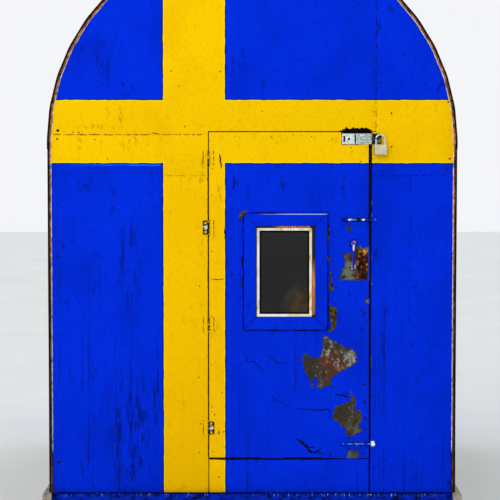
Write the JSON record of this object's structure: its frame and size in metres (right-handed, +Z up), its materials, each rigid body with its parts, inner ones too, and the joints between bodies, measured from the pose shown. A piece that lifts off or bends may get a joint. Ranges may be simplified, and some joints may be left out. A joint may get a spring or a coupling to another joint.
{
  "type": "ice fishing hut",
  "caption": "Small arched ice fishing hut on timber runners, with a hinged ledged door, door window, tower bolts, hasp and padlock, painted blue with a yellow cross.",
  "frame": {"origin": "on the ground under the middle of the hut, between the runners", "axes": "+Z up, -Y out of the front wall with the door, +X to the right as seen from the front"},
  "size_m": [1.876, 2.56, 2.6766],
  "materials": {
    "blue_paint": "satin",
    "yellow_paint": "satin",
    "dark_blue_paint": "satin",
    "bare_timber": "matte",
    "plywood": "matte",
    "roofing_felt": "matte",
    "painted_steel_sheet": "satin",
    "white_bead": "satin",
    "glass": "clear",
    "zinc_plated_steel": "satin",
    "painted_hardware": "satin",
    "yellow_hinge": "satin",
    "rusty_steel": "matte",
    "padlock_case_metal": "satin",
    "shackle_steel": "polished"
  },
  "bodies": {
    "hut": {"runner_left": "bare_timber", "runner_right": "bare_timber", "floor_joists": "bare_timber", "floor_deck": "plywood", "sill_front": "dark_blue_paint", "sill_back": "dark_blue_paint", "wall_left": "plywood", "wall_right": "plywood", "side_felt": "roofing_felt", "side_studs": "bare_timber", "side_plates": "bare_timber", "roof_boards": "bare_timber", "roof_felt": "roofing_felt", "arch_ribs": "bare_timber", "front_panel_left": "blue_paint", "front_strip_left": "yellow_paint", "front_panel_right": "blue_paint", "front_panel_under_door": "blue_paint", "front_arch_left": "blue_paint", "front_arch_right": "blue_paint", "door_posts": "bare_timber", "front_rails": "bare_timber", "back_panels": "blue_paint", "back_arch_panel": "blue_paint", "back_frame": "bare_timber", "hinge_leaves_wall": "yellow_hinge", "bolt_keepers": "painted_hardware", "hasp_staple": "zinc_plated_steel"},
    "door": {"door_leaf": "plywood", "door_skin": "painted_steel_sheet", "door_battens": "bare_timber", "window_casing": "blue_paint", "window_lining": "bare_timber", "window_bead": "white_bead", "window_pane": "glass", "hinge_leaves_door": "yellow_hinge", "bolt_plates": "painted_hardware", "hasp_plate": "zinc_plated_steel", "pull_handle": "painted_hardware", "latch_plate": "rusty_steel"},
    "bolt_upper": {"bolt_rod_upper": "painted_hardware"},
    "bolt_lower": {"bolt_rod_lower": "painted_hardware"},
    "hasp": {"hasp_strap": "zinc_plated_steel"},
    "padlock": {"padlock_case": "padlock_case_metal", "padlock_shackle": "shackle_steel"}
  },
  "joints": [
    {"name": "door_hinge", "type": "hinge", "parent": "hut", "child": "door", "pos_m": [-0.195, -1.2248, 1.07], "axis": [0, 0, -1], "range_deg": [0, 165]},
    {"name": "bolt_upper_slide", "type": "slide", "parent": "door", "child": "bolt_upper", "axis": [-1, 0, 0], "range_m": [0, 0.034]},
    {"name": "bolt_lower_slide", "type": "slide", "parent": "door", "child": "bolt_lower", "axis": [-1, 0, 0], "range_m": [0, 0.034]},
    {"name": "hasp_hinge", "type": "hinge", "parent": "door", "child": "hasp", "pos_m": [0.465, -1.224, 1.771], "axis": [0, 0, -1], "range_deg": [0, 175]},
    {"name": "padlock_swivel", "type": "hinge", "parent": "hut", "child": "padlock", "pos_m": [0.5495, -1.239, 1.754], "axis": [0, 0, -1], "range_deg": [0, 90]}
  ]
}
